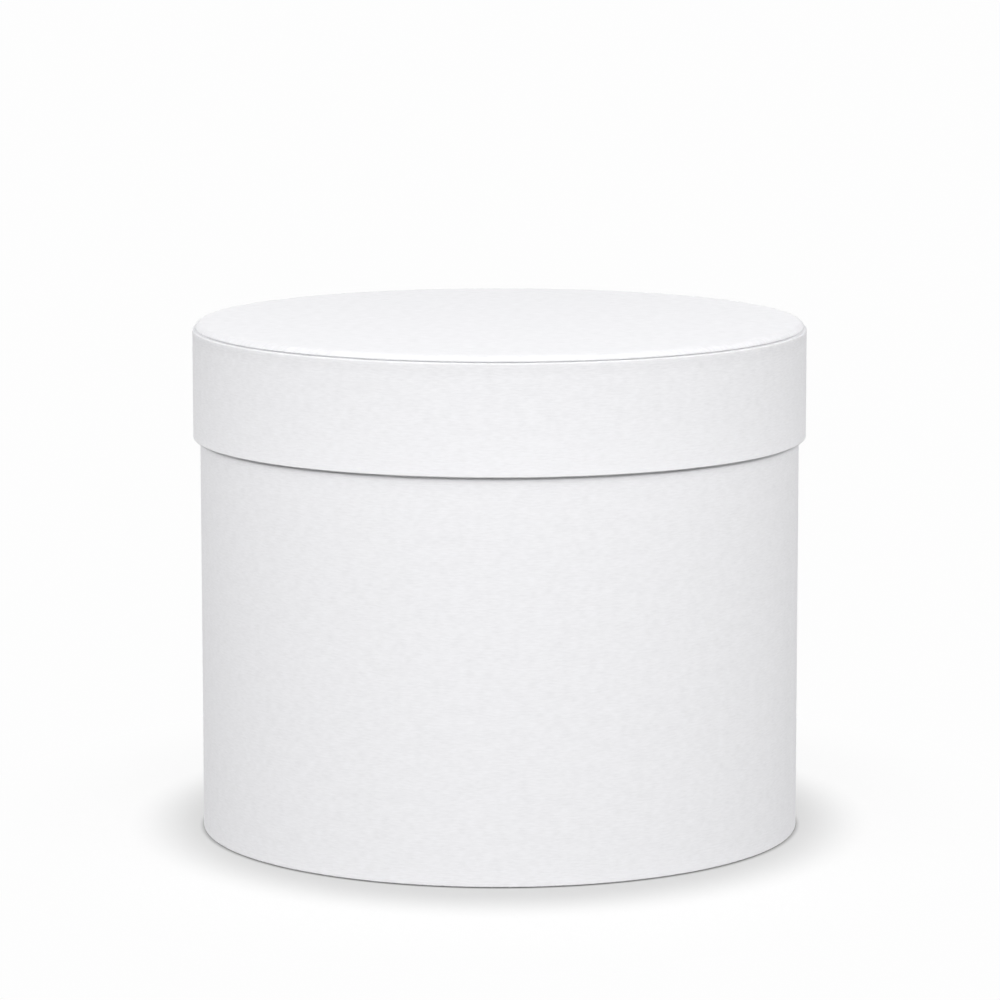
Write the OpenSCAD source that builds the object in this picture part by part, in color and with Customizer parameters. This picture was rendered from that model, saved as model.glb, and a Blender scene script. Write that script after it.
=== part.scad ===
// Round flower box: a rigid board box covered with paper, with a lid that slips
// over the body. The origin is the middle of the surface that the box stands on.

/* [Body] */
// Outer diameter of the body, over its paper
body_d = 215; // [120:1:320]
// Height of the body from its foot to its top edge
body_h = 179; // [90:1:260]
// Thickness of the board that the wall is rolled from
wall_t = 1.5; // [1:0.1:3]
// Thickness of the base board
base_t = 2; // [1:0.1:4]
// How far the outside paper is turned in over the top edge
wall_turn_in = 15; // [8:1:30]
// How far the outside paper is turned under the base
wall_turn_under = 13; // [8:1:25]
// How far the base paper stays inside the wall's outline
base_paper_set_in = 1.6; // [0.8:0.1:4]
// How far the wall's lining stays below the top edge
lining_drop = 3; // [1.5:0.5:6]
// Width of the lining's flange on the floor
lining_flange = 12; // [8:1:25]

/* [Lid] */
// Height of the lid's rim, from its lower edge to its ledge
rim_h = 39; // [24:1:80]
// Gap all round between the body and the lid's lining
lid_fit = 0.76; // [0.7:0.02:2]
// Thickness of the board that the rim is rolled from
rim_t = 1.2; // [1:0.1:3]
// Thickness of the board inside the rim's top
top_t = 1.8; // [1:0.1:4]
// How far the rim's paper is turned in at its lower edge
rim_turn_in = 12; // [8:1:18]
// How far the rim's paper is turned over onto the top board
rim_turn_over = 15; // [8:1:25]
// How far the rim's lining stays above the lower edge
lining_rise = 3; // [1.5:0.5:6]

/* [Cap disc] */
// How far the cap disc is set back from the rim's outline
ledge_w = 1.07; // [0.7:0.01:4]
// Thickness of the cap's board
cap_t = 2; // [1:0.1:4]
// Width of the cap's rounded edge
cap_edge_w = 2.2; // [0.8:0.1:4]
// Width of the cap's lower edge, which is pressed round over the ledge
cap_fold_w = 1.5; // [0.5:0.1:2.5]
// Height of the cap's lower edge
cap_fold_h = 0.5; // [0.3:0.05:0.8]
// How far the cap's paper is turned under its board
cap_turn_under = 13; // [8:1:25]

/* [Papers and glue] */
// Thickness of the covering paper
paper_t = 0.15; // [0.08:0.01:0.2]
// Thickness of a glue line
glue_t = 0.03; // [0.01:0.01:0.05]
// Outer radius of the paper's folds round the board edges
fold_r = 0.45; // [0.3:0.05:0.6]
// Width of the laps where a paper's ends meet
lap_w = 12; // [6:1:20]
// Height over which a lining steps from a turn-in to the board
step_h = 0.5; // [0.3:0.1:1.5]
// Gap left round the floor's and the ceiling's paper discs
disc_gap = 0.3; // [0.2:0.1:1]
// Width of a notch at its mouth
notch_mouth = 3; // [1.5:0.1:6]
// Width left uncut between a notch and the fold
notch_keep = 1.5; // [0.8:0.1:4]
// Notches round each turned flange
notches = 36; // [24:2:48]

/* [Board joints] */
// Slit where the ends of a rolled board meet
joint_slit = 0.4; // [0.2:0.1:1]
// Width of the tape over a board's joint
tape_w = 30; // [15:1:50]
// Thickness of the tape
tape_t = 0.12; // [0.08:0.01:0.2]
// Gap between the tape's edges and its pressed band
tape_gap = 0.2; // [0.1:0.1:0.5]

/* [Hidden] */
$fn = 180;
// Straight steps in a small fold and in the cap's rounded edge
fold_steps = 5;
edge_steps = 12;
// How far cutters run past what they cut
overrun = 1;
white_paper = [0.96, 0.96, 0.97];
grey_board = [0.62, 0.59, 0.54];
kraft = [0.72, 0.55, 0.37];

// Directions in a profile: outwards from the axis, inwards, up and down
out = [1, 0];
in = [-1, 0];
up = [0, 1];
down = [0, -1];

// Angles of the joints and laps round the box, with the front at 270
wall_joint_angle = 98;
wall_lap_angle = 90;
wall_lining_lap_angle = 78;
rim_joint_angle = 84;
rim_lap_angle = 92;
rim_lining_lap_angle = 106;

// One glued paper, and the paper with its glue on both sides
ply = paper_t + glue_t;
board_edge_r = fold_r - ply;

// Body, from the outline inwards
body_r = body_d / 2;
wall_out = body_r - ply;
wall_in = wall_out - wall_t;
turn_face = wall_in - ply;
lining_high_back = turn_face - glue_t;
lining_low_back = wall_in - glue_t;
lining_face = lining_low_back - paper_t;

// Body, from the foot up
wrap_foot = ply;
board_foot = wrap_foot + ply;
wall_top = body_h - ply;
base_top = board_foot + base_t;
floor_back = base_top + glue_t;
floor_paper_z = floor_back + ply;

// Lid, from the body outwards
rim_lining_face_low = body_r + lid_fit;
rim_turn_face = rim_lining_face_low + ply;
rim_in = rim_turn_face + ply;
rim_out = rim_in + rim_t;
lid_r = rim_out + ply;
rim_lining_low_back = rim_turn_face - glue_t;
rim_lining_high_back = rim_in - glue_t;

// Lid, from the body's top edge up
top_board_z = body_h + ply;
rim_board_top = top_board_z + top_t;
rim_top = rim_board_top + ply;
rim_foot = rim_top - rim_h;
rim_board_foot = rim_foot + ply;
cap_foot = rim_top + glue_t;
cap_board_z = cap_foot + ply;
cap_top = cap_board_z + cap_t + ply;
cap_r = lid_r - ledge_w;
cap_curve = [cap_r - cap_edge_w, cap_foot + cap_fold_h];
cap_fold = [cap_r - cap_fold_w, cap_foot + cap_fold_h];

// A quarter turn round a centre, from one direction to another
function fold(centre, r, from, to) =
    [for (i = [0 : fold_steps])
        let (a = 90 * i / fold_steps)
        centre + r * (from * cos(a) + to * sin(a))];

// The cap's rounded edge, a quarter ellipse from its side to its top, lying a
// given depth below the paper's face
function cap_edge(depth) =
    [for (i = [0 : edge_steps])
        let (a = 90 * i / edge_steps)
        cap_curve + [(cap_edge_w - depth) * cos(a), (cap_top - cap_curve[1] - depth) * sin(a)]];

// The cap's lower edge, a quarter ellipse from its underside to its side
function cap_foot_edge(depth) =
    fold(cap_fold, 1, (cap_fold_h - depth) * down, (cap_fold_w - depth) * out);

function reversed(points) = [for (i = [len(points) - 1 : -1 : 0]) points[i]];

function arc_angle(length, r) = length / (PI * r) * 180;

// A profile turned part of the way round, its middle at a given angle
module sector(middle, angle) {
    rotate_extrude(angle = angle, start = middle - angle / 2) children();
}

// A V-shaped notch, repeated round a flange between its edge and its fold
module notch_ring(edge_r, tip_r, z) {
    for (i = [0 : notches - 1])
        rotate([0, 0, 360 * (i + 0.5) / notches])
            translate([0, 0, z - overrun])
                linear_extrude(height = paper_t + 2 * overrun)
                    polygon([[edge_r - overrun, -notch_mouth / 2],
                             [tip_r, 0],
                             [edge_r - overrun, notch_mouth / 2]]);
}

// A board rolled to a ring, with a slit at its joint and a pressed band for the tape
module rolled_board(profile, outer_r, foot, top, joint_angle) {
    pressed_r = outer_r - tape_t - glue_t;
    slit_angle = arc_angle(joint_slit, outer_r);
    difference() {
        rotate_extrude(angle = 360 - slit_angle, start = joint_angle + slit_angle / 2)
            polygon(profile);
        sector(joint_angle, arc_angle(tape_w + 2 * tape_gap, outer_r))
            translate([pressed_r, foot - overrun])
                square([tape_t + glue_t + overrun, top - foot + 2 * overrun]);
    }
}

// The tape over a rolled board's joint, flush with the board's face
module joint_tape(outer_r, foot, top, joint_angle) {
    sector(joint_angle, arc_angle(tape_w, outer_r))
        translate([outer_r - tape_t, foot + board_edge_r])
            square([tape_t, top - foot - 2 * board_edge_r]);
}

module wall_board() {
    profile = concat(
        [[wall_in, board_foot]],
        fold([wall_out - board_edge_r, board_foot + board_edge_r], board_edge_r, down, out),
        fold([wall_out - board_edge_r, wall_top - board_edge_r], board_edge_r, out, up),
        fold([wall_in + board_edge_r, wall_top - board_edge_r], board_edge_r, up, in));
    color(grey_board) rolled_board(profile, wall_out, board_foot, wall_top, wall_joint_angle);
}

module wall_joint_tape() {
    color(kraft) joint_tape(wall_out, board_foot, wall_top, wall_joint_angle);
}

module base_board() {
    color(grey_board)
        translate([0, 0, board_foot]) cylinder(h = base_t, r = wall_in - glue_t);
}

// One sheet: under the base, up the outside, over the top edge and down inside
module wall_wrap() {
    foot_fold = [body_r - fold_r, wrap_foot + fold_r];
    outer_fold = [body_r - fold_r, body_h - fold_r];
    inner_fold = [turn_face + fold_r, body_h - fold_r];
    back_r = fold_r - paper_t;
    turn_end = body_h - wall_turn_in;
    flange_r = body_r - wall_turn_under;
    color(white_paper) difference() {
        union() {
            rotate_extrude() polygon(concat(
                [[flange_r, wrap_foot]],
                fold(foot_fold, fold_r, down, out),
                fold(outer_fold, fold_r, out, up),
                fold(inner_fold, fold_r, up, in),
                [[turn_face, turn_end], [turn_face + paper_t, turn_end]],
                fold(inner_fold, back_r, in, up),
                fold(outer_fold, back_r, up, out),
                fold(foot_fold, back_r, out, down),
                [[flange_r, wrap_foot + paper_t]]));
            sector(wall_lap_angle, arc_angle(lap_w, body_r))
                translate([body_r - paper_t / 2, foot_fold[1]])
                    square([paper_t * 3 / 2, outer_fold[1] - foot_fold[1]]);
        }
        notch_ring(flange_r, body_r - fold_r - notch_keep, wrap_foot);
    }
}

module base_paper() {
    color(white_paper) cylinder(h = paper_t, r = body_r - base_paper_set_in);
}

// Inside paper: over the turn-in, stepping out to the board, then onto the floor
module wall_lining() {
    top = body_h - lining_drop;
    turn_end = body_h - wall_turn_in;
    corner = [lining_low_back - fold_r, floor_back + fold_r];
    flange_r = lining_low_back - lining_flange;
    color(white_paper) difference() {
        union() {
            rotate_extrude() polygon(concat(
                [[lining_high_back, top], [lining_high_back, turn_end],
                 [lining_low_back, turn_end - step_h]],
                fold(corner, fold_r, out, down),
                [[flange_r, floor_back], [flange_r, floor_back + paper_t]],
                fold(corner, fold_r - paper_t, down, out),
                [[lining_face, turn_end - step_h],
                 [lining_high_back - paper_t, turn_end],
                 [lining_high_back - paper_t, top]]));
            sector(wall_lining_lap_angle, arc_angle(lap_w, lining_face)) polygon([
                [lining_high_back - paper_t / 2, top],
                [lining_high_back - paper_t / 2, turn_end],
                [lining_low_back - paper_t / 2, turn_end - step_h],
                [lining_low_back - paper_t / 2, corner[1]],
                [lining_face - paper_t, corner[1]],
                [lining_face - paper_t, turn_end - step_h],
                [lining_high_back - 2 * paper_t, turn_end],
                [lining_high_back - 2 * paper_t, top]]);
        }
        notch_ring(flange_r, corner[0] - notch_keep, floor_back);
    }
}

module floor_paper() {
    color(white_paper)
        translate([0, 0, floor_paper_z])
            cylinder(h = paper_t, r = lining_low_back - fold_r - disc_gap);
}

module rim_board() {
    profile = concat(
        fold([rim_in + board_edge_r, rim_board_foot + board_edge_r], board_edge_r, in, down),
        fold([rim_out - board_edge_r, rim_board_foot + board_edge_r], board_edge_r, down, out),
        fold([rim_out - board_edge_r, rim_board_top - board_edge_r], board_edge_r, out, up),
        [[rim_in, rim_board_top]]);
    color(grey_board)
        rolled_board(profile, rim_out, rim_board_foot, rim_board_top, rim_joint_angle);
}

module rim_joint_tape() {
    color(kraft) joint_tape(rim_out, rim_board_foot, rim_board_top, rim_joint_angle);
}

module top_board() {
    color(grey_board)
        translate([0, 0, top_board_z]) cylinder(h = top_t, r = rim_in - glue_t);
}

// One sheet: up inside the lower edge, down round it, up the outside and over the top
module rim_wrap() {
    inner_fold = [rim_turn_face + fold_r, rim_foot + fold_r];
    foot_fold = [lid_r - fold_r, rim_foot + fold_r];
    top_fold = [lid_r - fold_r, rim_top - fold_r];
    back_r = fold_r - paper_t;
    turn_end = rim_foot + rim_turn_in;
    flange_r = lid_r - rim_turn_over;
    color(white_paper) difference() {
        union() {
            rotate_extrude() polygon(concat(
                [[rim_turn_face, turn_end]],
                fold(inner_fold, fold_r, in, down),
                fold(foot_fold, fold_r, down, out),
                fold(top_fold, fold_r, out, up),
                [[flange_r, rim_top], [flange_r, rim_top - paper_t]],
                fold(top_fold, back_r, up, out),
                fold(foot_fold, back_r, out, down),
                fold(inner_fold, back_r, down, in),
                [[rim_turn_face + paper_t, turn_end]]));
            sector(rim_lap_angle, arc_angle(lap_w, lid_r))
                translate([lid_r - paper_t / 2, foot_fold[1]])
                    square([paper_t * 3 / 2, top_fold[1] - foot_fold[1]]);
        }
        notch_ring(flange_r, top_fold[0] - notch_keep, rim_top - paper_t);
    }
}

module cap_board() {
    color(grey_board) rotate_extrude() polygon(concat(
        [[0, cap_board_z]],
        cap_foot_edge(ply),
        cap_edge(ply),
        [[0, cap_board_z + cap_t]]));
}

// The disc's paper: across the top, round the rounded edge and under the board
module cap_paper() {
    flange_r = cap_r - cap_turn_under;
    color(white_paper) difference() {
        rotate_extrude() polygon(concat(
            [[flange_r, cap_foot]],
            cap_foot_edge(0),
            cap_edge(0),
            [[0, cap_top], [0, cap_top - paper_t]],
            reversed(cap_edge(paper_t)),
            reversed(cap_foot_edge(paper_t)),
            [[flange_r, cap_foot + paper_t]]));
        notch_ring(flange_r, cap_fold[0] - notch_keep, cap_foot);
    }
}

// Inside paper of the rim: over the turn-in, stepping out to the board
module rim_lining() {
    foot = rim_foot + lining_rise;
    turn_end = rim_foot + rim_turn_in;
    top = top_board_z - glue_t;
    low = rim_lining_low_back;
    high = rim_lining_high_back;
    color(white_paper) union() {
        rotate_extrude() polygon([
            [low, foot], [low, turn_end], [high, turn_end + step_h], [high, top],
            [high - paper_t, top], [high - paper_t, turn_end + step_h],
            [low - paper_t, turn_end], [low - paper_t, foot]]);
        sector(rim_lining_lap_angle, arc_angle(lap_w, rim_lining_face_low)) polygon([
            [low - paper_t / 2, foot], [low - paper_t / 2, turn_end],
            [high - paper_t / 2, turn_end + step_h], [high - paper_t / 2, top],
            [high - 2 * paper_t, top], [high - 2 * paper_t, turn_end + step_h],
            [low - 2 * paper_t, turn_end], [low - 2 * paper_t, foot]]);
    }
}

module top_lining() {
    color(white_paper)
        translate([0, 0, body_h])
            cylinder(h = paper_t, r = rim_lining_high_back - 2 * paper_t - disc_gap);
}

wall_board();
wall_joint_tape();
base_board();
wall_wrap();
base_paper();
wall_lining();
floor_paper();
rim_board();
rim_joint_tape();
top_board();
rim_wrap();
cap_board();
cap_paper();
rim_lining();
top_lining();
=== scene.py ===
"""A round white flower box: rigid board covered with paper, with a slip-over lid.

Every paper is a thin closed sheet worked out as a grid: a path across the sheet, in
distance from the box's axis and height, is carried round the axis. The boards and
tapes keep their CAD meshes. Lengths are in metres.
"""
import math

import bpy
import numpy as np
from mathutils import Matrix, Vector


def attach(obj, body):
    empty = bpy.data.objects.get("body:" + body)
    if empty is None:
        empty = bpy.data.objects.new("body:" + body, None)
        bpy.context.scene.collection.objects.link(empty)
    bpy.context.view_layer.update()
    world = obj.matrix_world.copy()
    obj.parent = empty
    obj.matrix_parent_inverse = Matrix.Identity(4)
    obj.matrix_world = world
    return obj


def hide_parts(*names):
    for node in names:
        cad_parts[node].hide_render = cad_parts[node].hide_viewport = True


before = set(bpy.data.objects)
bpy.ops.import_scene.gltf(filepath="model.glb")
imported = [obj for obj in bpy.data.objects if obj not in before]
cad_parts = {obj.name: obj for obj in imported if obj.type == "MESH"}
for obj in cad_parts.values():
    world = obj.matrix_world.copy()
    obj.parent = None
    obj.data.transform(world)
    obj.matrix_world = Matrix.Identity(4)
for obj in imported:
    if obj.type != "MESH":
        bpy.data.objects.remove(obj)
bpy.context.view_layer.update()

# Papers, glue and folds
PAPER = 0.00015
GLUE = 0.00003
PLY = PAPER + GLUE
FOLD_R = 0.00045
LAP = 0.012
LAP_RISE = 0.0015
LAP_LIFT = 0.00013
NOTCHES = 36
NOTCH_MOUTH = 0.003
NOTCH_KEEP = 0.0015

# Body, from the outline inwards and from the foot up
BODY_R = 0.1075
BODY_H = 0.179
WALL_BOARD = 0.0015
BASE_BOARD = 0.002
WALL_TURN_IN = 0.015
WALL_TURN_UNDER = 0.013
BASE_PAPER_SET_IN = 0.0016
LINING_DROP = 0.003
LINING_FLANGE = 0.012
WRAP_FOOT = PLY
WALL_IN = BODY_R - PLY - WALL_BOARD
TURN_FACE = WALL_IN - PLY
LINING_LOW = WALL_IN - PLY
LINING_HIGH = TURN_FACE - PLY
FLOOR_FACE = 2 * PLY + BASE_BOARD + PLY
FLOOR_TOP = FLOOR_FACE + PLY

# Lid, from the body outwards and from the body's top edge up
RIM_H = 0.039
LID_FIT = 0.00076
RIM_BOARD = 0.0012
TOP_BOARD = 0.0018
RIM_TURN_IN = 0.012
RIM_TURN_OVER = 0.015
LINING_RISE = 0.003
RIM_LINING_LOW = BODY_R + LID_FIT
RIM_TURN_FACE = RIM_LINING_LOW + PLY
RIM_LINING_HIGH = RIM_LINING_LOW + PLY
LID_R = RIM_TURN_FACE + PLY + RIM_BOARD + PLY
RIM_TOP = BODY_H + PLY + TOP_BOARD + PLY
RIM_FOOT = RIM_TOP - RIM_H
CEILING = BODY_H

# Cap disc on the lid
LEDGE = 0.00107
CAP_EDGE_W = 0.0022
CAP_FOLD_W = 0.0015
CAP_FOLD_H = 0.0005
CAP_TURN_UNDER = 0.013
CAP_BOARD = 0.002
CAP_R = LID_R - LEDGE
CAP_FOOT = RIM_TOP + GLUE
CAP_TOP = CAP_FOOT + PLY + CAP_BOARD + PLY

# How a lining steps off a turn-in, and how paper sinks past a hidden edge
STEP_H = 0.0005
DISC_GAP = 0.0003
SINK_W = 0.0016

# How far a normal tilts up or down where a fold's mark starts, and where it is full: facing up, wear
# and a painted highlight; facing down, a painted shade
FOLD_TILT_FROM = 0.15
FOLD_TILT_TO = 0.4

# Angles of the laps round the box, with the front at 270 degrees
WALL_LAP = 90
WALL_LINING_LAP = 78
RIM_LAP = 92
RIM_LINING_LAP = 106

# Steps of the grids
ROUND_STEPS = 300
FOLD_STEPS = 8
STRAIGHT_STEP = 0.004


def smooth(t):
    """The smooth step 3 t^2 - 2 t^3, held at 0 below 0 and at 1 above 1."""
    t = np.clip(t, 0, 1)
    return t * t * (3 - 2 * t)


def straight(a, b, step=STRAIGHT_STEP):
    """Points from a to b without a itself, at even steps of about the given length."""
    a, b = np.asarray(a, float), np.asarray(b, float)
    n = max(1, round(float(np.linalg.norm(b - a)) / step))
    return a + (b - a) * (np.arange(1, n + 1) / n)[:, None]


def quarter(centre, across, along, first, last):
    """A quarter ellipse: the centre plus two directions, turned from first into last."""
    t = np.linspace(0, np.pi / 2, FOLD_STEPS + 1)[:, None]
    size = np.array([across, along])
    return np.asarray(centre) + size * (np.array(first) * np.cos(t) + np.array(last) * np.sin(t))


def joined(start, *parts):
    """One path from a start point: quarter turns as they are, and straight runs to
    each of the others, apart from those that start where the last one ends."""
    path = np.array([start], float)
    for part in parts:
        part = np.atleast_2d(np.asarray(part, float))
        apart = np.linalg.norm(part[0] - path[-1]) > GLUE / 10
        run = straight(path[-1], part[0]) if apart else part[:0]
        path = np.concatenate([path, run, part[1:]])
    return path


def right_normals(path):
    """Unit normals on the right of the path's way, each the mean of its two steps'."""
    step = np.diff(path, axis=0)
    step /= np.linalg.norm(step, axis=1)[:, None]
    mean = np.vstack([step[:1], step[:-1] + step[1:], step[-1:]])
    mean /= np.linalg.norm(mean, axis=1)[:, None]
    return np.stack([mean[:, 1], -mean[:, 0]], axis=1)


def notch_share(a, half):
    """The share of a flange that is left at angle a: 1, and down to almost 0 in a V
    whose middle is at each odd half step of the notches."""
    pitch = 2 * np.pi / NOTCHES
    off = np.abs((a % pitch) - pitch / 2)
    return np.clip(off / half, 0.03, 1)


def closed_sheet(name, face, back, cells, uv, fold, material):
    """A closed mesh from a grid's face and back points.

    The back's cells are the face's turned over, and each edge that has a cell on one
    side only gets a wall between face and back: the paper's cut edge.
    """
    n = len(face)
    edges = np.concatenate([np.roll(cells, -s, axis=1)[:, :2] for s in range(4)])
    edges = edges[edges[:, 0] != edges[:, 1]]
    key = edges[:, 0] * n + edges[:, 1]
    other = edges[:, 1] * n + edges[:, 0]
    rim = edges[~np.isin(key, other)]
    walls = np.stack([rim[:, 1], rim[:, 0], rim[:, 0] + n, rim[:, 1] + n], axis=1)
    quads = np.concatenate([cells, cells[:, ::-1] + n, walls])
    used, quads = np.unique(quads, return_inverse=True)
    quads = quads.reshape(-1, 4)
    points = np.concatenate([face, back])[used]
    uv = np.concatenate([uv, uv])[used]
    fold = np.concatenate([fold, fold])[used]
    faces = [list(dict.fromkeys(q)) for q in quads.tolist()]
    mesh = bpy.data.meshes.new(name)
    mesh.from_pydata(points, [], faces)
    loops = np.empty(len(mesh.loops), np.int32)
    mesh.loops.foreach_get("vertex_index", loops)
    layer = mesh.uv_layers.new(name="sheet")
    layer.data.foreach_set("uv", uv[loops].astype(np.float32).ravel())
    mask = mesh.attributes.new("fold", "FLOAT", "POINT")
    mask.data.foreach_set("value", fold.astype(np.float32))
    mesh.polygons.foreach_set("use_smooth", np.ones(len(mesh.polygons), bool))
    mesh.set_sharp_from_angle(angle=math.radians(40))
    mesh.materials.append(material)
    obj = bpy.data.objects.new(name, mesh)
    bpy.context.scene.collection.objects.link(obj)
    return obj


def round_angles(half_notch):
    """Even angles once round, with the corners and middles of the notches among them."""
    even = 2 * np.pi * np.arange(ROUND_STEPS) / ROUND_STEPS
    if not half_notch:
        return even
    middle = 2 * np.pi * (np.arange(NOTCHES) + 0.5) / NOTCHES
    knots = (middle[:, None] + half_notch * np.array([-1, -0.5, 0, 0.5, 1])).ravel()
    far = np.abs(even[:, None] - knots).min(axis=1) > 0.3 * half_notch
    return np.sort(np.concatenate([even[far], knots]))


def lap_angles(even, lap_at, radius):
    """Angles of a lapped sheet, from its hidden start once round to its start again,
    then on through its tongue, and how many of them are the tongue's."""
    start = math.radians(lap_at) - LAP / 2 / radius
    rise = LAP_RISE / radius
    turned = np.sort(start + (even - start) % (2 * np.pi))
    clear = (turned > start + 0.3 * rise) & (turned < start + 2 * np.pi - 1.3 * rise)
    climb = start + 2 * np.pi - rise * np.linspace(1, 0, 7)
    tongue = start + 2 * np.pi + LAP / radius * np.linspace(0, 1, 9)[1:]
    return np.concatenate([[start], turned[clear], climb, tongue]), len(tongue)


def paper_sheet(name, path, material, lap=None, notched=None, relief=None):
    """A paper of its own thickness, its path carried round the axis.

    A point is (r cos a, r sin a, z) for an angle a and a path point (r, z), moved along
    the path's normal by the lift: what relief(a, r, z) gives, and at a lap LAP_LIFT
    more, rising smoothly where the sheet climbs over its own start. The lap is
    (degrees, side, lowest z, highest z), and its tongue keeps to that side and height.
    notched is (edge, keep), the radii of a flange's edge and of its uncut strip: past
    keep, the distance from it is multiplied by the notches' share.
    """
    normal = right_normals(path)
    run = np.concatenate([[0], np.cumsum(np.linalg.norm(np.diff(path, axis=0), axis=1))])
    bend = np.linalg.norm(np.gradient(normal, run, axis=0), axis=1)
    radius = path[:, 0].max()
    half = NOTCH_MOUTH / 2 / notched[0] if notched else 0
    angles, tongue = round_angles(half), 0
    on_lap = np.zeros(len(path), bool)
    if lap:
        angles, tongue = lap_angles(angles, lap[0], radius)
        on_lap = (normal[:, 0] * lap[1] > 0.8) & (path[:, 1] > lap[2]) & (path[:, 1] < lap[3])
    a = angles[:, None]
    r = np.repeat(path[None, :, 0], len(angles), axis=0)
    z = np.repeat(path[None, :, 1], len(angles), axis=0)
    if notched:
        keep = notched[1]
        flange = (np.abs(normal[:, 1]) > 0.99) & (path[:, 0] < keep) & (
            np.abs(path[:, 1] - path[np.argmin(np.abs(path[:, 0] - notched[0])), 1]) < PAPER)
        r = np.where(flange, keep + (r - keep) * notch_share(a, half), r)
    lift = relief(a, r, z) if relief else np.zeros(r.shape)
    if lap:
        passed = angles[0] + 2 * np.pi
        lift = lift + LAP_LIFT * on_lap * smooth(1 + (a - passed) * radius / LAP_RISE)
    layers = []
    for depth in (0, PAPER):
        rr = r + normal[:, 0] * (lift - depth)
        zz = z + normal[:, 1] * (lift - depth)
        layers.append(np.stack([rr * np.cos(a), rr * np.sin(a), zz], axis=2).reshape(-1, 3))
    rows = len(angles) - (1 if lap else 0)
    k, i = np.meshgrid(np.arange(rows), np.arange(len(path) - 1), indexing="ij")
    there = (k < len(angles) - 1 - tongue) | (on_lap[i] & on_lap[i + 1]) | (not lap)
    k, i = k[there], i[there]
    nxt = (k + 1) % len(angles)
    cells = np.stack([k * len(path) + i, nxt * len(path) + i,
                      nxt * len(path) + i + 1, k * len(path) + i + 1], axis=1)
    for end in (0, len(path) - 1):
        if path[end, 0] == 0:
            cells = np.where(cells % len(path) == end, end, cells)
    if path[:, 0].min() > 0:
        uv = np.stack(np.broadcast_arrays(a * radius, run), axis=2)
    else:
        from_axis = run if path[0, 0] == 0 else run[-1] - run
        uv = np.stack([from_axis * np.cos(a), from_axis * np.sin(a)], axis=2)
    # The fold mask: folds that face up get wear and a painted highlight, folds that face down a painted
    # shade
    tilt = (np.abs(normal[:, 1]) - FOLD_TILT_FROM) / (FOLD_TILT_TO - FOLD_TILT_FROM)
    facing = np.sign(normal[:, 1]) * np.clip(tilt, 0, 1)
    fold = np.repeat((np.clip(bend * FOLD_R, 0, 1) * facing)[None], len(angles), axis=0)
    return closed_sheet(name, *layers, cells, uv.reshape(-1, 2), fold.ravel(), material)


# Paths across the sheets, with the visible side on the right of their way
OUT, IN, UP, DOWN = (1, 0), (-1, 0), (0, 1), (0, -1)


def body_cover_path():
    """Under the base, up the outside, over the top edge and down inside."""
    foot = [BODY_R - FOLD_R, WRAP_FOOT + FOLD_R]
    outer = [BODY_R - FOLD_R, BODY_H - FOLD_R]
    inner = [TURN_FACE + FOLD_R, BODY_H - FOLD_R]
    return joined([BODY_R - WALL_TURN_UNDER, WRAP_FOOT],
                  quarter(foot, FOLD_R, FOLD_R, DOWN, OUT),
                  quarter(outer, FOLD_R, FOLD_R, OUT, UP),
                  quarter(inner, FOLD_R, FOLD_R, UP, IN),
                  [TURN_FACE, BODY_H - WALL_TURN_IN])


def body_lining_path():
    """Down over the turn-in, out to the board, down it and onto the floor."""
    turn_end = BODY_H - WALL_TURN_IN
    corner = [LINING_LOW - (FOLD_R - PAPER), FLOOR_FACE + FOLD_R - PAPER]
    return joined([LINING_HIGH, BODY_H - LINING_DROP],
                  [LINING_HIGH, turn_end],
                  [LINING_LOW, turn_end - STEP_H],
                  quarter(corner, FOLD_R - PAPER, FOLD_R - PAPER, OUT, DOWN),
                  [LINING_LOW + PAPER - LINING_FLANGE, FLOOR_FACE])


def lid_cover_path():
    """Down inside the lower edge, round it, up the outside and over the top."""
    inner = [RIM_TURN_FACE + FOLD_R, RIM_FOOT + FOLD_R]
    foot = [LID_R - FOLD_R, RIM_FOOT + FOLD_R]
    top = [LID_R - FOLD_R, RIM_TOP - FOLD_R]
    return joined([RIM_TURN_FACE, RIM_FOOT + RIM_TURN_IN],
                  quarter(inner, FOLD_R, FOLD_R, IN, DOWN),
                  quarter(foot, FOLD_R, FOLD_R, DOWN, OUT),
                  quarter(top, FOLD_R, FOLD_R, OUT, UP),
                  [LID_R - RIM_TURN_OVER, RIM_TOP])


def lid_lining_path():
    """Down the rim's board, in over the turn-in and down it."""
    turn_end = RIM_FOOT + RIM_TURN_IN
    return joined([RIM_LINING_HIGH, CEILING + PAPER],
                  [RIM_LINING_HIGH, turn_end + STEP_H],
                  [RIM_LINING_LOW, turn_end],
                  [RIM_LINING_LOW, RIM_FOOT + LINING_RISE])


def cap_cover_path():
    """Under the board, round its rounded edge and in to the middle of the top."""
    foot = [CAP_R - CAP_FOLD_W, CAP_FOOT + CAP_FOLD_H]
    edge = [CAP_R - CAP_EDGE_W, CAP_FOOT + CAP_FOLD_H]
    return joined([CAP_R - CAP_TURN_UNDER, CAP_FOOT],
                  quarter(foot, CAP_FOLD_W, CAP_FOLD_H, DOWN, OUT),
                  quarter(edge, CAP_EDGE_W, CAP_TOP - edge[1], OUT, UP),
                  [0, CAP_TOP])


def sunk_past(edge, keep):
    """Relief of a paper disc over a notched flange: it sinks one ply past the edge."""
    half = NOTCH_MOUTH / 2 / edge

    def relief(a, r, z):
        shown = keep + (edge - keep) * notch_share(a, half)
        return -PLY * smooth((shown - r) / SINK_W + 0.5)

    return relief


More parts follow.
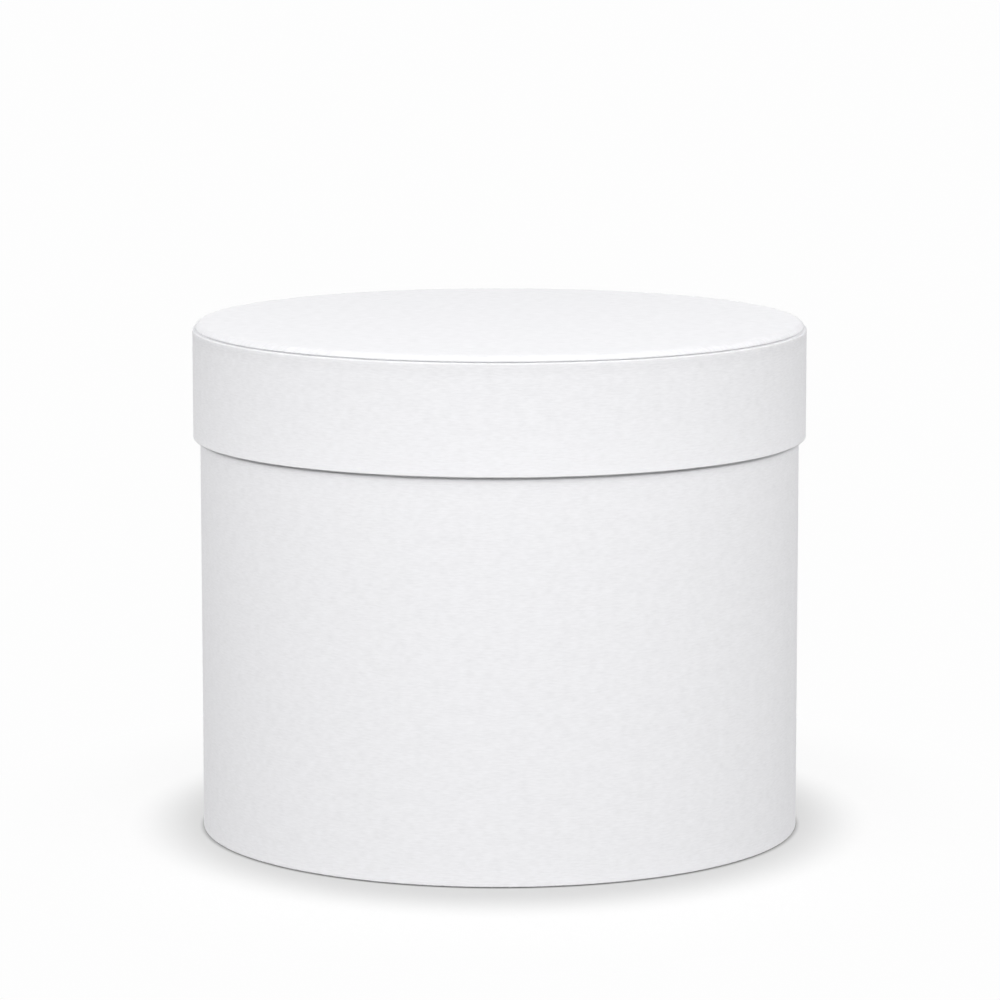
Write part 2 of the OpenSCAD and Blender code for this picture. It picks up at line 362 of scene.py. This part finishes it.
# Materials
CLOUD_W = 0.0045
CLOUD_SHARE = 0.45
# Folds facing up are paler: partly wear, partly a painted highlight
FOLD_WEAR_AND_PAINTED_HIGHLIGHT = 0.05
# Folds facing down are darker: a painted shade in the creases
FOLD_PAINTED_SHADE = 0.2
# Range of the painted light and shade tones by height
PAINTED_TONE_RANGE = 0.2
WEAR_SCALE = 900.0
PAPER_BUMP = 0.25
PAPER_BUMP_H = 0.00002
ROUGH_SHARE = 0.15
COVER_COLOUR = (0.921, 0.92, 0.938)
COVER_GRAIN = 0.165
COVER_STREAK = (0.003, 0.00052)
COVER_ROUGH = 0.88
CAP_GRAIN = 0.175
CAP_STREAK = (0.004, 0.0008)
LINING_COLOUR = (0.9, 0.9, 0.91)
LINING_GRAIN = 0.165
LINING_STREAK = (0.004, 0.0006)
LINING_ROUGH = 0.9
BOARD_SCALE = 700.0
KRAFT_COLOUR = (0.36, 0.21, 0.1)
KRAFT_GRAIN = 0.8


def node_group(name, inputs, outputs):
    """A shader node group with named float or vector sockets, and its two ends."""
    group = bpy.data.node_groups.new(name, "ShaderNodeTree")
    for socket, kind in inputs:
        group.interface.new_socket(name=socket, in_out="INPUT", socket_type=kind)
    for socket, kind in outputs:
        group.interface.new_socket(name=socket, in_out="OUTPUT", socket_type=kind)
    return group, group.nodes.new("NodeGroupInput"), group.nodes.new("NodeGroupOutput")


def add(tree, kind, values=(), **settings):
    """A node with its settings and with values for its inputs by name or number."""
    node = tree.nodes.new(kind)
    for key, value in settings.items():
        setattr(node, key, value)
    for key, value in dict(values).items():
        if isinstance(value, bpy.types.NodeSocket):
            tree.links.new(value, node.inputs[key])
        else:
            node.inputs[key].default_value = value
    return node


def math_node(tree, operation, a, b=0.0):
    """The output of a Math node."""
    return add(tree, "ShaderNodeMath", {0: a, 1: b}, operation=operation).outputs[0]


def paper_grain_group():
    """Fine fibres lying along the sheet, streaks of noise stretched along x, and the
    small clouds in which they gather. Puts out a shade about 0 and a height."""
    group, start, end = node_group(
        "paper_grain",
        [("Vector", "NodeSocketVector"), ("Length", "NodeSocketFloat"),
         ("Width", "NodeSocketFloat")],
        [("Shade", "NodeSocketFloat"), ("Height", "NodeSocketFloat")])
    scale = add(group, "ShaderNodeCombineXYZ", {
        "X": math_node(group, "DIVIDE", 1.0, start.outputs["Length"]),
        "Y": math_node(group, "DIVIDE", 1.0, start.outputs["Width"]),
        "Z": math_node(group, "DIVIDE", 1.0, start.outputs["Width"])})
    place = add(group, "ShaderNodeVectorMath",
                {0: start.outputs["Vector"], 1: scale.outputs[0]}, operation="MULTIPLY")
    streak = add(group, "ShaderNodeTexNoise",
                 {"Vector": place.outputs[0], "Scale": 1.0, "Detail": 2.0, "Roughness": 0.5})
    cloud = add(group, "ShaderNodeTexNoise",
                {"Vector": start.outputs["Vector"], "Scale": 1 / CLOUD_W, "Detail": 2.0})
    centred = math_node(group, "SUBTRACT", streak.outputs["Fac"], 0.5)
    slow = math_node(group, "MULTIPLY", math_node(group, "SUBTRACT", cloud.outputs["Fac"], 0.5),
                     CLOUD_SHARE)
    group.links.new(math_node(group, "ADD", centred, slow), end.inputs["Shade"])
    group.links.new(streak.outputs["Fac"], end.inputs["Height"])
    return group


def fold_wear_and_painted_light_group():
    """How a fold changes the paper: paler where it faces up, partly wear and partly a painted
    highlight, broken up by noise, and darker where it faces down, a painted shade."""
    group, start, end = node_group(
        "fold_wear_and_painted_light",
        [("Fold", "NodeSocketFloat"), ("Vector", "NodeSocketVector"), ("Scale", "NodeSocketFloat")],
        [("RubbedAndPaintedHighlight", "NodeSocketFloat"), ("PaintedShade", "NodeSocketFloat")])
    noise = add(group, "ShaderNodeTexNoise", {"Vector": start.outputs["Vector"],
                                              "Scale": start.outputs["Scale"], "Detail": 3.0})
    broken = add(group, "ShaderNodeMapRange", {0: noise.outputs["Fac"], 1: 0.35, 2: 0.7})
    up = math_node(group, "MAXIMUM", start.outputs["Fold"], 0.0)
    down = math_node(group, "MINIMUM", start.outputs["Fold"], 0.0)
    group.links.new(math_node(group, "MULTIPLY", up, broken.outputs[0]), end.inputs["RubbedAndPaintedHighlight"])
    group.links.new(down, end.inputs["PaintedShade"])
    return group


def board_fibre_group():
    """Recycled board: flecks and cloudy fibres on the object's own coordinates."""
    group, start, end = node_group(
        "board_fibre",
        [("Vector", "NodeSocketVector"), ("Scale", "NodeSocketFloat")],
        [("Cloud", "NodeSocketFloat"), ("Fleck", "NodeSocketFloat")])
    cloud = add(group, "ShaderNodeTexNoise", {
        "Vector": start.outputs["Vector"], "Scale": start.outputs["Scale"],
        "Detail": 6.0, "Roughness": 0.65})
    cell = add(group, "ShaderNodeTexVoronoi", {
        "Vector": start.outputs["Vector"],
        "Scale": math_node(group, "MULTIPLY", start.outputs["Scale"], 2.2)})
    fleck = add(group, "ShaderNodeMapRange", {0: cell.outputs["Distance"], 1: 0.22, 2: 0.1})
    group.links.new(cloud.outputs["Fac"], end.inputs["Cloud"])
    group.links.new(fleck.outputs[0], end.inputs["Fleck"])
    return group


PAPER_GRAIN = paper_grain_group()
FOLD_WEAR_AND_PAINTED_LIGHT = fold_wear_and_painted_light_group()
BOARD_FIBRE = board_fibre_group()


def new_material(name):
    """A material's node tree with an empty Principled shader, both returned."""
    material = bpy.data.materials.new(name)
    material.use_nodes = True
    tree = material.node_tree
    tree.nodes.clear()
    shader = tree.nodes.new("ShaderNodeBsdfPrincipled")
    out = tree.nodes.new("ShaderNodeOutputMaterial")
    tree.links.new(shader.outputs[0], out.inputs["Surface"])
    return material, tree, shader


def painted_height_tone(tree, painted_tone):
    """Painted light and shade by height: the share by which a paper is paler at a point's height,
    darker where below 0, between listed stops.
    """
    coordinates = add(tree, "ShaderNodeTexCoord")
    place = add(tree, "ShaderNodeSeparateXYZ", {0: coordinates.outputs["Object"]})
    low, high = painted_tone[0][0], painted_tone[-1][0]
    share = add(tree, "ShaderNodeMapRange", {0: place.outputs["Z"], 1: low, 2: high}).outputs[0]
    ramp = add(tree, "ShaderNodeValToRGB", {"Fac": share})
    stops = ramp.color_ramp.elements
    while len(stops) < len(painted_tone):
        stops.new(0.5)
    for stop, (height, paler) in zip(stops, painted_tone):
        grey = 0.5 + paler / PAINTED_TONE_RANGE
        stop.position = (height - low) / (high - low)
        stop.color = (grey, grey, grey, 1)
    ramp.color_ramp.interpolation = "LINEAR"
    paler = add(tree, "ShaderNodeMapRange",
                {0: ramp.outputs[0], 3: -PAINTED_TONE_RANGE / 2, 4: PAINTED_TONE_RANGE / 2})
    return paler.outputs[0]


def paper_material(name, colour, grain, streak, roughness, painted_tone=None):
    """Uncoated paper: a grain of fibres along the sheet, and the folds' wear with a painted highlight
    on top and painted shade beneath. The painted_tone
    is painted light and shade: a list of heights on the object and the share by which it is paler
    there."""
    material, tree, shader = new_material(name)
    sheet = add(tree, "ShaderNodeUVMap", uv_map="sheet").outputs[0]
    fibres = add(tree, "ShaderNodeGroup", node_tree=PAPER_GRAIN)
    tree.links.new(sheet, fibres.inputs["Vector"])
    fibres.inputs["Length"].default_value = streak[0]
    fibres.inputs["Width"].default_value = streak[1]
    fold_wear_and_light = add(tree, "ShaderNodeGroup", node_tree=FOLD_WEAR_AND_PAINTED_LIGHT)
    fold = add(tree, "ShaderNodeAttribute", attribute_name="fold")
    tree.links.new(fold.outputs["Fac"], fold_wear_and_light.inputs["Fold"])
    tree.links.new(sheet, fold_wear_and_light.inputs["Vector"])
    fold_wear_and_light.inputs["Scale"].default_value = WEAR_SCALE
    shade = math_node(tree, "MULTIPLY", fibres.outputs["Shade"], grain)
    # Wear and a painted highlight on folds facing up, painted shade under folds facing down
    folds = math_node(tree, "ADD", math_node(tree, "MULTIPLY", fold_wear_and_light.outputs["RubbedAndPaintedHighlight"], FOLD_WEAR_AND_PAINTED_HIGHLIGHT),
                      math_node(tree, "MULTIPLY", fold_wear_and_light.outputs["PaintedShade"], FOLD_PAINTED_SHADE))
    level = math_node(tree, "ADD", math_node(tree, "ADD", shade, 1.0), folds)
    # Painted light and shade by height
    if painted_tone:
        level = math_node(tree, "ADD", level, painted_height_tone(tree, painted_tone))
    tint = add(tree, "ShaderNodeVectorMath", {0: colour, "Scale": level}, operation="SCALE")
    tree.links.new(tint.outputs[0], shader.inputs["Base Color"])
    rough = math_node(tree, "ADD", roughness,
                      math_node(tree, "MULTIPLY", fibres.outputs["Shade"], ROUGH_SHARE))
    tree.links.new(rough, shader.inputs["Roughness"])
    bump = add(tree, "ShaderNodeBump", {"Strength": PAPER_BUMP, "Distance": PAPER_BUMP_H,
                                        "Height": fibres.outputs["Height"]})
    tree.links.new(bump.outputs[0], shader.inputs["Normal"])
    shader.inputs["Specular IOR Level"].default_value = 0.15
    return material


def grey_board_material():
    """Raw recycled board: warm grey with paler clouds and dark flecks."""
    material, tree, shader = new_material("raw grey board")
    place = add(tree, "ShaderNodeTexCoord").outputs["Object"]
    fibre = add(tree, "ShaderNodeGroup", node_tree=BOARD_FIBRE)
    tree.links.new(place, fibre.inputs["Vector"])
    fibre.inputs["Scale"].default_value = BOARD_SCALE
    ramp = add(tree, "ShaderNodeValToRGB", {"Fac": fibre.outputs["Cloud"]})
    ramp.color_ramp.elements[0].position = 0.3
    ramp.color_ramp.elements[0].color = (0.24, 0.21, 0.17, 1)
    ramp.color_ramp.elements[1].position = 0.72
    ramp.color_ramp.elements[1].color = (0.42, 0.38, 0.32, 1)
    mixed = add(tree, "ShaderNodeMix", data_type="RGBA")
    tree.links.new(math_node(tree, "MULTIPLY", fibre.outputs["Fleck"], 0.5), mixed.inputs["Factor"])
    tree.links.new(ramp.outputs[0], mixed.inputs["A"])
    mixed.inputs["B"].default_value = (0.13, 0.11, 0.09, 1)
    tree.links.new(mixed.outputs["Result"], shader.inputs["Base Color"])
    shader.inputs["Roughness"].default_value = 0.9
    bump = add(tree, "ShaderNodeBump", {"Strength": 0.4, "Distance": 0.00005,
                                        "Height": fibre.outputs["Cloud"]})
    tree.links.new(bump.outputs[0], shader.inputs["Normal"])
    return material


def kraft_material():
    """Gummed kraft tape: brown, with fibres along its length."""
    material, tree, shader = new_material("gummed kraft tape")
    place = add(tree, "ShaderNodeTexCoord").outputs["Object"]
    turned = add(tree, "ShaderNodeMapping", {"Vector": place, "Rotation": (0, math.pi / 2, 0)})
    fibres = add(tree, "ShaderNodeGroup", node_tree=PAPER_GRAIN)
    tree.links.new(turned.outputs[0], fibres.inputs["Vector"])
    fibres.inputs["Length"].default_value = 0.003
    fibres.inputs["Width"].default_value = 0.0005
    shade = math_node(tree, "MULTIPLY", fibres.outputs["Shade"], KRAFT_GRAIN)
    level = math_node(tree, "ADD", shade, 1.0)
    tint = add(tree, "ShaderNodeVectorMath", {0: KRAFT_COLOUR, "Scale": level}, operation="SCALE")
    tree.links.new(tint.outputs[0], shader.inputs["Base Color"])
    shader.inputs["Roughness"].default_value = 0.55
    return material


# Papers, with tones of painted light and shade listed by height: each is a height and the share by
# which it is paler, darker where it is below 0
# Painted light: the body is paler for 9 mm above its foot
body_painted_tone = [(0, 0.03), (0.0015, 0.045), (0.0025, 0.03), (0.0045, 0.01), (0.009, 0), (BODY_H, 0)]
# Painted light and shade: the rim is paler above its lower edge and darker a few millimetres below its
# top
rim_painted_tone = [(RIM_FOOT, 0.065), (RIM_FOOT + 0.0015, 0.055), (RIM_FOOT + 0.004, 0.025),
            (RIM_FOOT + 0.01, 0.01), (RIM_FOOT + 0.02, -0.002), (RIM_TOP - 0.009, -0.012),
            (RIM_TOP - 0.005, -0.022), (RIM_TOP - 0.003, -0.052), (RIM_TOP - 0.0015, -0.066),
            (RIM_TOP - 0.0007, -0.04), (RIM_TOP - 0.0003, 0), (RIM_TOP, 0)]
body_cover = paper_material("white cover paper of the body, with painted light", COVER_COLOUR, COVER_GRAIN,
                            COVER_STREAK, COVER_ROUGH, body_painted_tone)
rim_cover = paper_material("white cover paper of the rim, with painted light and shade", COVER_COLOUR, COVER_GRAIN,
                           COVER_STREAK, COVER_ROUGH, rim_painted_tone)
cap_cover = paper_material("white cover paper of the cap", COVER_COLOUR, CAP_GRAIN,
                           CAP_STREAK, COVER_ROUGH)
lining = paper_material("white lining paper", LINING_COLOUR, LINING_GRAIN,
                        LINING_STREAK, LINING_ROUGH)
board = grey_board_material()
kraft = kraft_material()

# Bodies, slots and the CAD nodes that the papers stand for
body_fold_keep = BODY_R - FOLD_R - NOTCH_KEEP
floor_keep = LINING_LOW + PAPER - FOLD_R - NOTCH_KEEP
SHEETS = [
    ("body_cover_paper", "wall_wrap", "box", body_cover, body_cover_path(),
     dict(lap=(WALL_LAP, 1, WRAP_FOOT + FOLD_R, BODY_H - FOLD_R),
          notched=(BODY_R - WALL_TURN_UNDER, body_fold_keep))),
    ("body_lining_paper", "wall_lining", "box", lining, body_lining_path(),
     dict(lap=(WALL_LINING_LAP, -1, FLOOR_FACE + FOLD_R, BODY_H),
          notched=(LINING_LOW + PAPER - LINING_FLANGE, floor_keep))),
    ("floor_lining_paper", "floor_paper", "box", lining,
     joined([LINING_LOW + PAPER - FOLD_R - DISC_GAP, FLOOR_TOP], [0, FLOOR_TOP]),
     dict(relief=sunk_past(LINING_LOW + PAPER - LINING_FLANGE, floor_keep))),
    ("foot_paper", "base_paper", "box", lining,
     joined([0, 0], [BODY_R - BASE_PAPER_SET_IN, 0]),
     dict(relief=sunk_past(BODY_R - WALL_TURN_UNDER, body_fold_keep))),
    ("lid_cover_paper", "rim_wrap", "lid", rim_cover, lid_cover_path(),
     dict(lap=(RIM_LAP, 1, RIM_FOOT + FOLD_R, RIM_TOP - FOLD_R),
          notched=(LID_R - RIM_TURN_OVER, LID_R - FOLD_R - NOTCH_KEEP))),
    ("cap_cover_paper", "cap_paper", "lid", cap_cover, cap_cover_path(),
     dict(notched=(CAP_R - CAP_TURN_UNDER, CAP_R - CAP_FOLD_W - NOTCH_KEEP))),
    ("lid_lining_paper", "rim_lining", "lid", lining, lid_lining_path(),
     dict(lap=(RIM_LINING_LAP, -1, RIM_FOOT, CEILING + PLY))),
    ("ceiling_lining_paper", "top_lining", "lid", lining,
     joined([0, CEILING], [RIM_LINING_HIGH - PAPER - DISC_GAP, CEILING]), {}),
]
for name, node, body, material, path, shape in SHEETS:
    sheet = paper_sheet(name, path, material, **shape)
    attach(sheet, body)
    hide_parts(node)

for node, material in (("wall_board", board), ("base_board", board), ("rim_board", board),
                       ("top_board", board), ("cap_board", board),
                       ("wall_joint_tape", kraft), ("rim_joint_tape", kraft)):
    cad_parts[node].material_slots[0].material = material

# Floor, world, lamps and camera
FLOOR_R = 9.0
FLOOR_Z = -0.00003
FLOOR_CELLS = 192
FLOOR_COLOUR = (0.2, 0.2, 0.2)
# The floor's glow is lower near the foot, a painted shadow on ellipses reaching further to the front
GLOW_IN_PAINTED_SHADOW = 0.515
GLOW_FAR = 0.796
PAINTED_SHADOW_FROM_R = 0.102
PAINTED_SHADOW_TO_R = 0.137
PAINTED_SHADOW_DEPTH_SCALE = 0.848
PAINTED_SHADOW_MIDDLE_Y = 0.0077
WHITE_FROM_R = 0.125
WHITE_TO_R = 0.2
# The floor's hole, and the painted contact shade: no glow at the hole's edge, full glow by the next
# radius
CONTACT_FROM_R = 0.1055
PAINTED_CONTACT_SHADE_TO_R = 0.1094
BACKGROUND = 0.986
RING_LIGHT = 3.87
RING_HEIGHT = 0.42
RING_SPREAD = 0.22
UNDER_LIGHT = 0.16


def step_between(tree, value, low, high, first=0.0, last=1.0):
    """A smooth step from first to last while the value goes from low to high."""
    step = add(tree, "ShaderNodeMapRange", {0: value, 1: low, 2: high, 3: first, 4: last},
               interpolation_type="SMOOTHSTEP")
    return step.outputs[0]


def background_rays(tree):
    """1 for the rays that show a background: from the camera, a reflection or a glass."""
    path = add(tree, "ShaderNodeLightPath")
    seen = math_node(tree, "MAXIMUM", path.outputs["Is Camera Ray"], path.outputs["Is Glossy Ray"])
    return math_node(tree, "MAXIMUM", seen, path.outputs["Is Transmission Ray"])


def foot_distance(tree):
    """Distance from the middle of the box's foot on ellipses a little longer to the front, by which the
    floor's painted shadow fades.
    """
    place = add(tree, "ShaderNodeTexCoord").outputs["Object"]
    centred = add(tree, "ShaderNodeVectorMath", {0: place, 1: (0, PAINTED_SHADOW_MIDDLE_Y, 0)},
                  operation="SUBTRACT")
    drawn = add(tree, "ShaderNodeVectorMath", {0: centred.outputs[0], 1: (1, PAINTED_SHADOW_DEPTH_SCALE, 1)},
                operation="MULTIPLY")
    return add(tree, "ShaderNodeVectorMath", {0: drawn.outputs[0]}, operation="LENGTH").outputs["Value"]


def make_floor():
    """A flat floor, a ring of cells from just inside the box's foot out to FLOOR_R, so
    that light from below reaches the underside. To the camera it glows beside the light
    that falls on it, less near the foot, a painted shadow, and not at all at the foot's edge, a painted
    contact shade; further out it is as white as the world, and from below it is clear."""
    a = 2 * np.pi * np.arange(FLOOR_CELLS) / FLOOR_CELLS
    turn = np.stack([np.cos(a), np.sin(a), np.zeros(FLOOR_CELLS)], axis=1)
    points = np.vstack([CONTACT_FROM_R * turn, FLOOR_R * turn]) + [0, 0, FLOOR_Z]
    i = np.arange(FLOOR_CELLS)
    after = (i + 1) % FLOOR_CELLS
    faces = np.stack([i, i + FLOOR_CELLS, after + FLOOR_CELLS, after], axis=1).tolist()
    mesh = bpy.data.meshes.new("floor")
    mesh.from_pydata(points, [], faces)
    material = bpy.data.materials.new("pale floor")
    material.use_nodes = True
    tree = material.node_tree
    tree.nodes.clear()
    matt = add(tree, "ShaderNodeBsdfDiffuse", {"Color": (*FLOOR_COLOUR, 1)})
    seen = background_rays(tree)
    away = foot_distance(tree)
    # Painted shadow: less glow near the foot
    level = step_between(tree, away, PAINTED_SHADOW_FROM_R, PAINTED_SHADOW_TO_R, GLOW_IN_PAINTED_SHADOW, GLOW_FAR)
    place = add(tree, "ShaderNodeTexCoord").outputs["Object"]
    from_axis = add(tree, "ShaderNodeVectorMath", {0: place}, operation="LENGTH").outputs["Value"]
    # Painted contact shade: no glow at the foot's edge
    level = math_node(tree, "MULTIPLY", level,
                      step_between(tree, from_axis, CONTACT_FROM_R, PAINTED_CONTACT_SHADE_TO_R))
    glow = add(tree, "ShaderNodeEmission", {"Strength": math_node(tree, "MULTIPLY", seen, level)})
    near = add(tree, "ShaderNodeAddShader", {0: matt.outputs[0], 1: glow.outputs[0]})
    far = add(tree, "ShaderNodeEmission", {"Strength": BACKGROUND})
    share = math_node(tree, "MULTIPLY", seen, step_between(tree, away, WHITE_FROM_R, WHITE_TO_R))
    mixed = add(tree, "ShaderNodeMixShader", {0: share, 1: near.outputs[0], 2: far.outputs[0]})
    path = add(tree, "ShaderNodeLightPath")
    geometry = add(tree, "ShaderNodeNewGeometry")
    from_below = math_node(tree, "MULTIPLY", path.outputs["Is Camera Ray"],
                           geometry.outputs["Backfacing"])
    clear = add(tree, "ShaderNodeBsdfTransparent")
    sides = add(tree, "ShaderNodeMixShader",
                {0: from_below, 1: mixed.outputs[0], 2: clear.outputs[0]})
    out = tree.nodes.new("ShaderNodeOutputMaterial")
    tree.links.new(sides.outputs[0], out.inputs["Surface"])
    mesh.materials.append(material)
    floor = bpy.data.objects.new("floor", mesh)
    bpy.context.scene.collection.objects.link(floor)


def make_world():
    """A soft ring of light round the studio, brightest where the direction's height is
    RING_HEIGHT and gone RING_SPREAD away from it, a faint light from below the floor, and
    white where it is looked at."""
    world = bpy.data.worlds.new("studio")
    bpy.context.scene.world = world
    world.use_nodes = True
    tree = world.node_tree
    tree.nodes.clear()
    coordinates = add(tree, "ShaderNodeTexCoord")
    way = add(tree, "ShaderNodeSeparateXYZ", {0: coordinates.outputs["Generated"]})
    away = math_node(tree, "ABSOLUTE", math_node(tree, "SUBTRACT", way.outputs["Z"], RING_HEIGHT))
    ring = step_between(tree, away, 0, RING_SPREAD, RING_LIGHT, 0)
    low = math_node(tree, "LESS_THAN", way.outputs["Z"], 0.0)
    under = math_node(tree, "MULTIPLY", low, UNDER_LIGHT)
    light = math_node(tree, "ADD", ring, under)
    strength = add(tree, "ShaderNodeMapRange", {0: background_rays(tree), 3: light, 4: BACKGROUND})
    back = add(tree, "ShaderNodeBackground",
               {"Color": (1, 1, 1, 1), "Strength": strength.outputs[0]})
    out = tree.nodes.new("ShaderNodeOutputWorld")
    tree.links.new(back.outputs[0], out.inputs["Surface"])


def make_lamp(name, place, target, width, height, power):
    """A soft rectangular lamp that faces a target."""
    light = bpy.data.lights.new(name, "AREA")
    light.shape = "RECTANGLE"
    light.size, light.size_y = width, height
    light.energy = power
    lamp = bpy.data.objects.new(name, light)
    lamp.location = place
    way = Vector(target) - Vector(place)
    lamp.rotation_mode = "QUATERNION"
    lamp.rotation_quaternion = way.to_track_quat("-Z", "Y")
    bpy.context.scene.collection.objects.link(lamp)


make_floor()
make_world()
LAMPS = [
    ("near key", (0.0, -0.62, 0.78), (0, 0, 0.15), 0.7, 0.5, 1.0),
    ("low front", (0.0, -1.6, 0.72), (0, 0, 0.12), 1.6, 0.6, 7.27),
    ("left side", (-1.5, -0.6, 0.9), (0, 0, 0.12), 1.0, 1.0, 3.67),
    ("right side", (1.5, -0.6, 0.9), (0, 0, 0.12), 1.0, 1.0, 3.67),
]
for lamp in LAMPS:
    make_lamp(*lamp)

# Camera: where it stands, how far it looks down and its focal length in pixels of a
# picture 1000 pixels wide
CAMERA_X = 0.000135
CAMERA_Y = -1.71604
CAMERA_Z = 0.37672
CAMERA_DOWN = 0.14953
CAMERA_ROLL = -0.00071
FOCAL_PX = 4811.3
PICTURE_PX = 1000
SENSOR_MM = 36

camera = bpy.data.cameras.new("camera")
camera.sensor_width = SENSOR_MM
camera.lens = FOCAL_PX / PICTURE_PX * SENSOR_MM
view = bpy.data.objects.new("camera", camera)
bpy.context.scene.collection.objects.link(view)
view.matrix_world = (Matrix.Translation((CAMERA_X, CAMERA_Y, CAMERA_Z))
                     @ Matrix.Rotation(math.pi / 2 - CAMERA_DOWN, 4, "X")
                     @ Matrix.Rotation(CAMERA_ROLL, 4, "Z"))
bpy.context.scene.camera = view
bpy.context.scene.view_settings.view_transform = "Standard"
